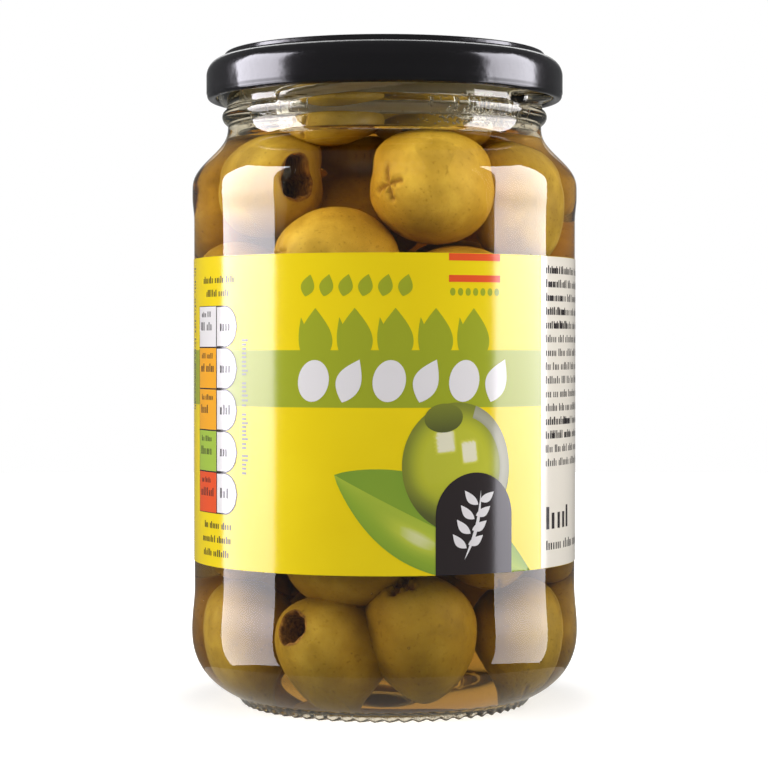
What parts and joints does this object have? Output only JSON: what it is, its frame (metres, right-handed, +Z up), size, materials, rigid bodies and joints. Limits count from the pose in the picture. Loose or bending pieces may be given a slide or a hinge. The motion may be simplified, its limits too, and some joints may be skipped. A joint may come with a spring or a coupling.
{
  "type": "jar of olives",
  "caption": "Tall glass grocery jar of pitted green olives in brine, with a wraparound paper label and a black twist-off steel lid.",
  "frame": {"origin": "middle of the standing ring, on the surface that the jar stands on", "axes": "+Z up along the jar's axis; the front of the label faces -Y; +X is to the right as seen from the front"},
  "size_m": [0.072, 0.072, 0.1208],
  "materials": {
    "clear_glass": "clear blown and pressed soda-lime glass",
    "lacquered_steel": "gloss black lacquer outside, cream lacquer inside",
    "sealing_compound": "cast sealing ring",
    "printed_paper": "coated label paper, printed, semi-gloss",
    "brine": "clear straw-coloured brine",
    "olive_flesh": "smooth wet olive skin"
  },
  "bodies": {
    "root": {"jar": "clear_glass", "lid": "lacquered_steel", "gasket": "sealing_compound", "label": "printed_paper", "brine": "brine", "olive_1": "olive_flesh", "olive_2": "olive_flesh", "olive_3": "olive_flesh"}
  },
  "joints": []
}
